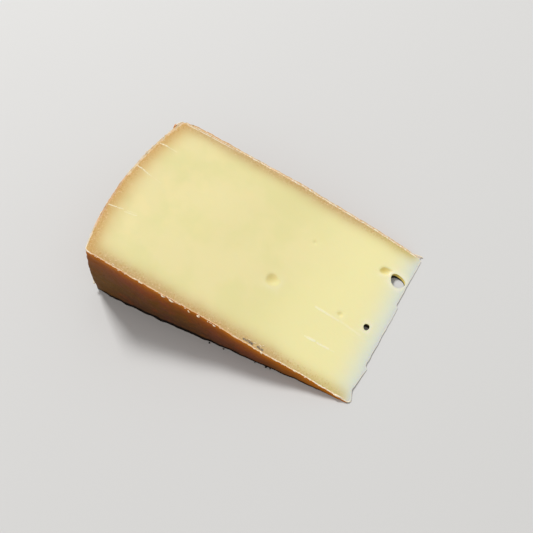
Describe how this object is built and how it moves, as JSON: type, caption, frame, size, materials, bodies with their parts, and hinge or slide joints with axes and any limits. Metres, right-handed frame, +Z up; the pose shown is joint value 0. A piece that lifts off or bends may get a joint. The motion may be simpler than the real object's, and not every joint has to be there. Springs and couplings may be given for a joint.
{
  "type": "cheese wedge",
  "caption": "Thin radial wedge of hard mountain cheese lying on one cut face, with a bulged heel, a brown rind and small eyes near its ragged tip.",
  "frame": {"origin": "centre of the bounding box's bottom, on the plane of the lower cut face", "axes": "+X from the heel, which is the outside of the wheel, to the tip at the wheel's axis; +Y across the wheel's height, from the near flat rind to the far one; +Z up, out of the lower cut face"},
  "size_m": [0.1504, 0.0926, 0.0417],
  "materials": {
    "cheese": "smooth moist cut paste, satin"
  },
  "bodies": {
    "root": {"cheese_wedge": "cheese"}
  },
  "joints": []
}
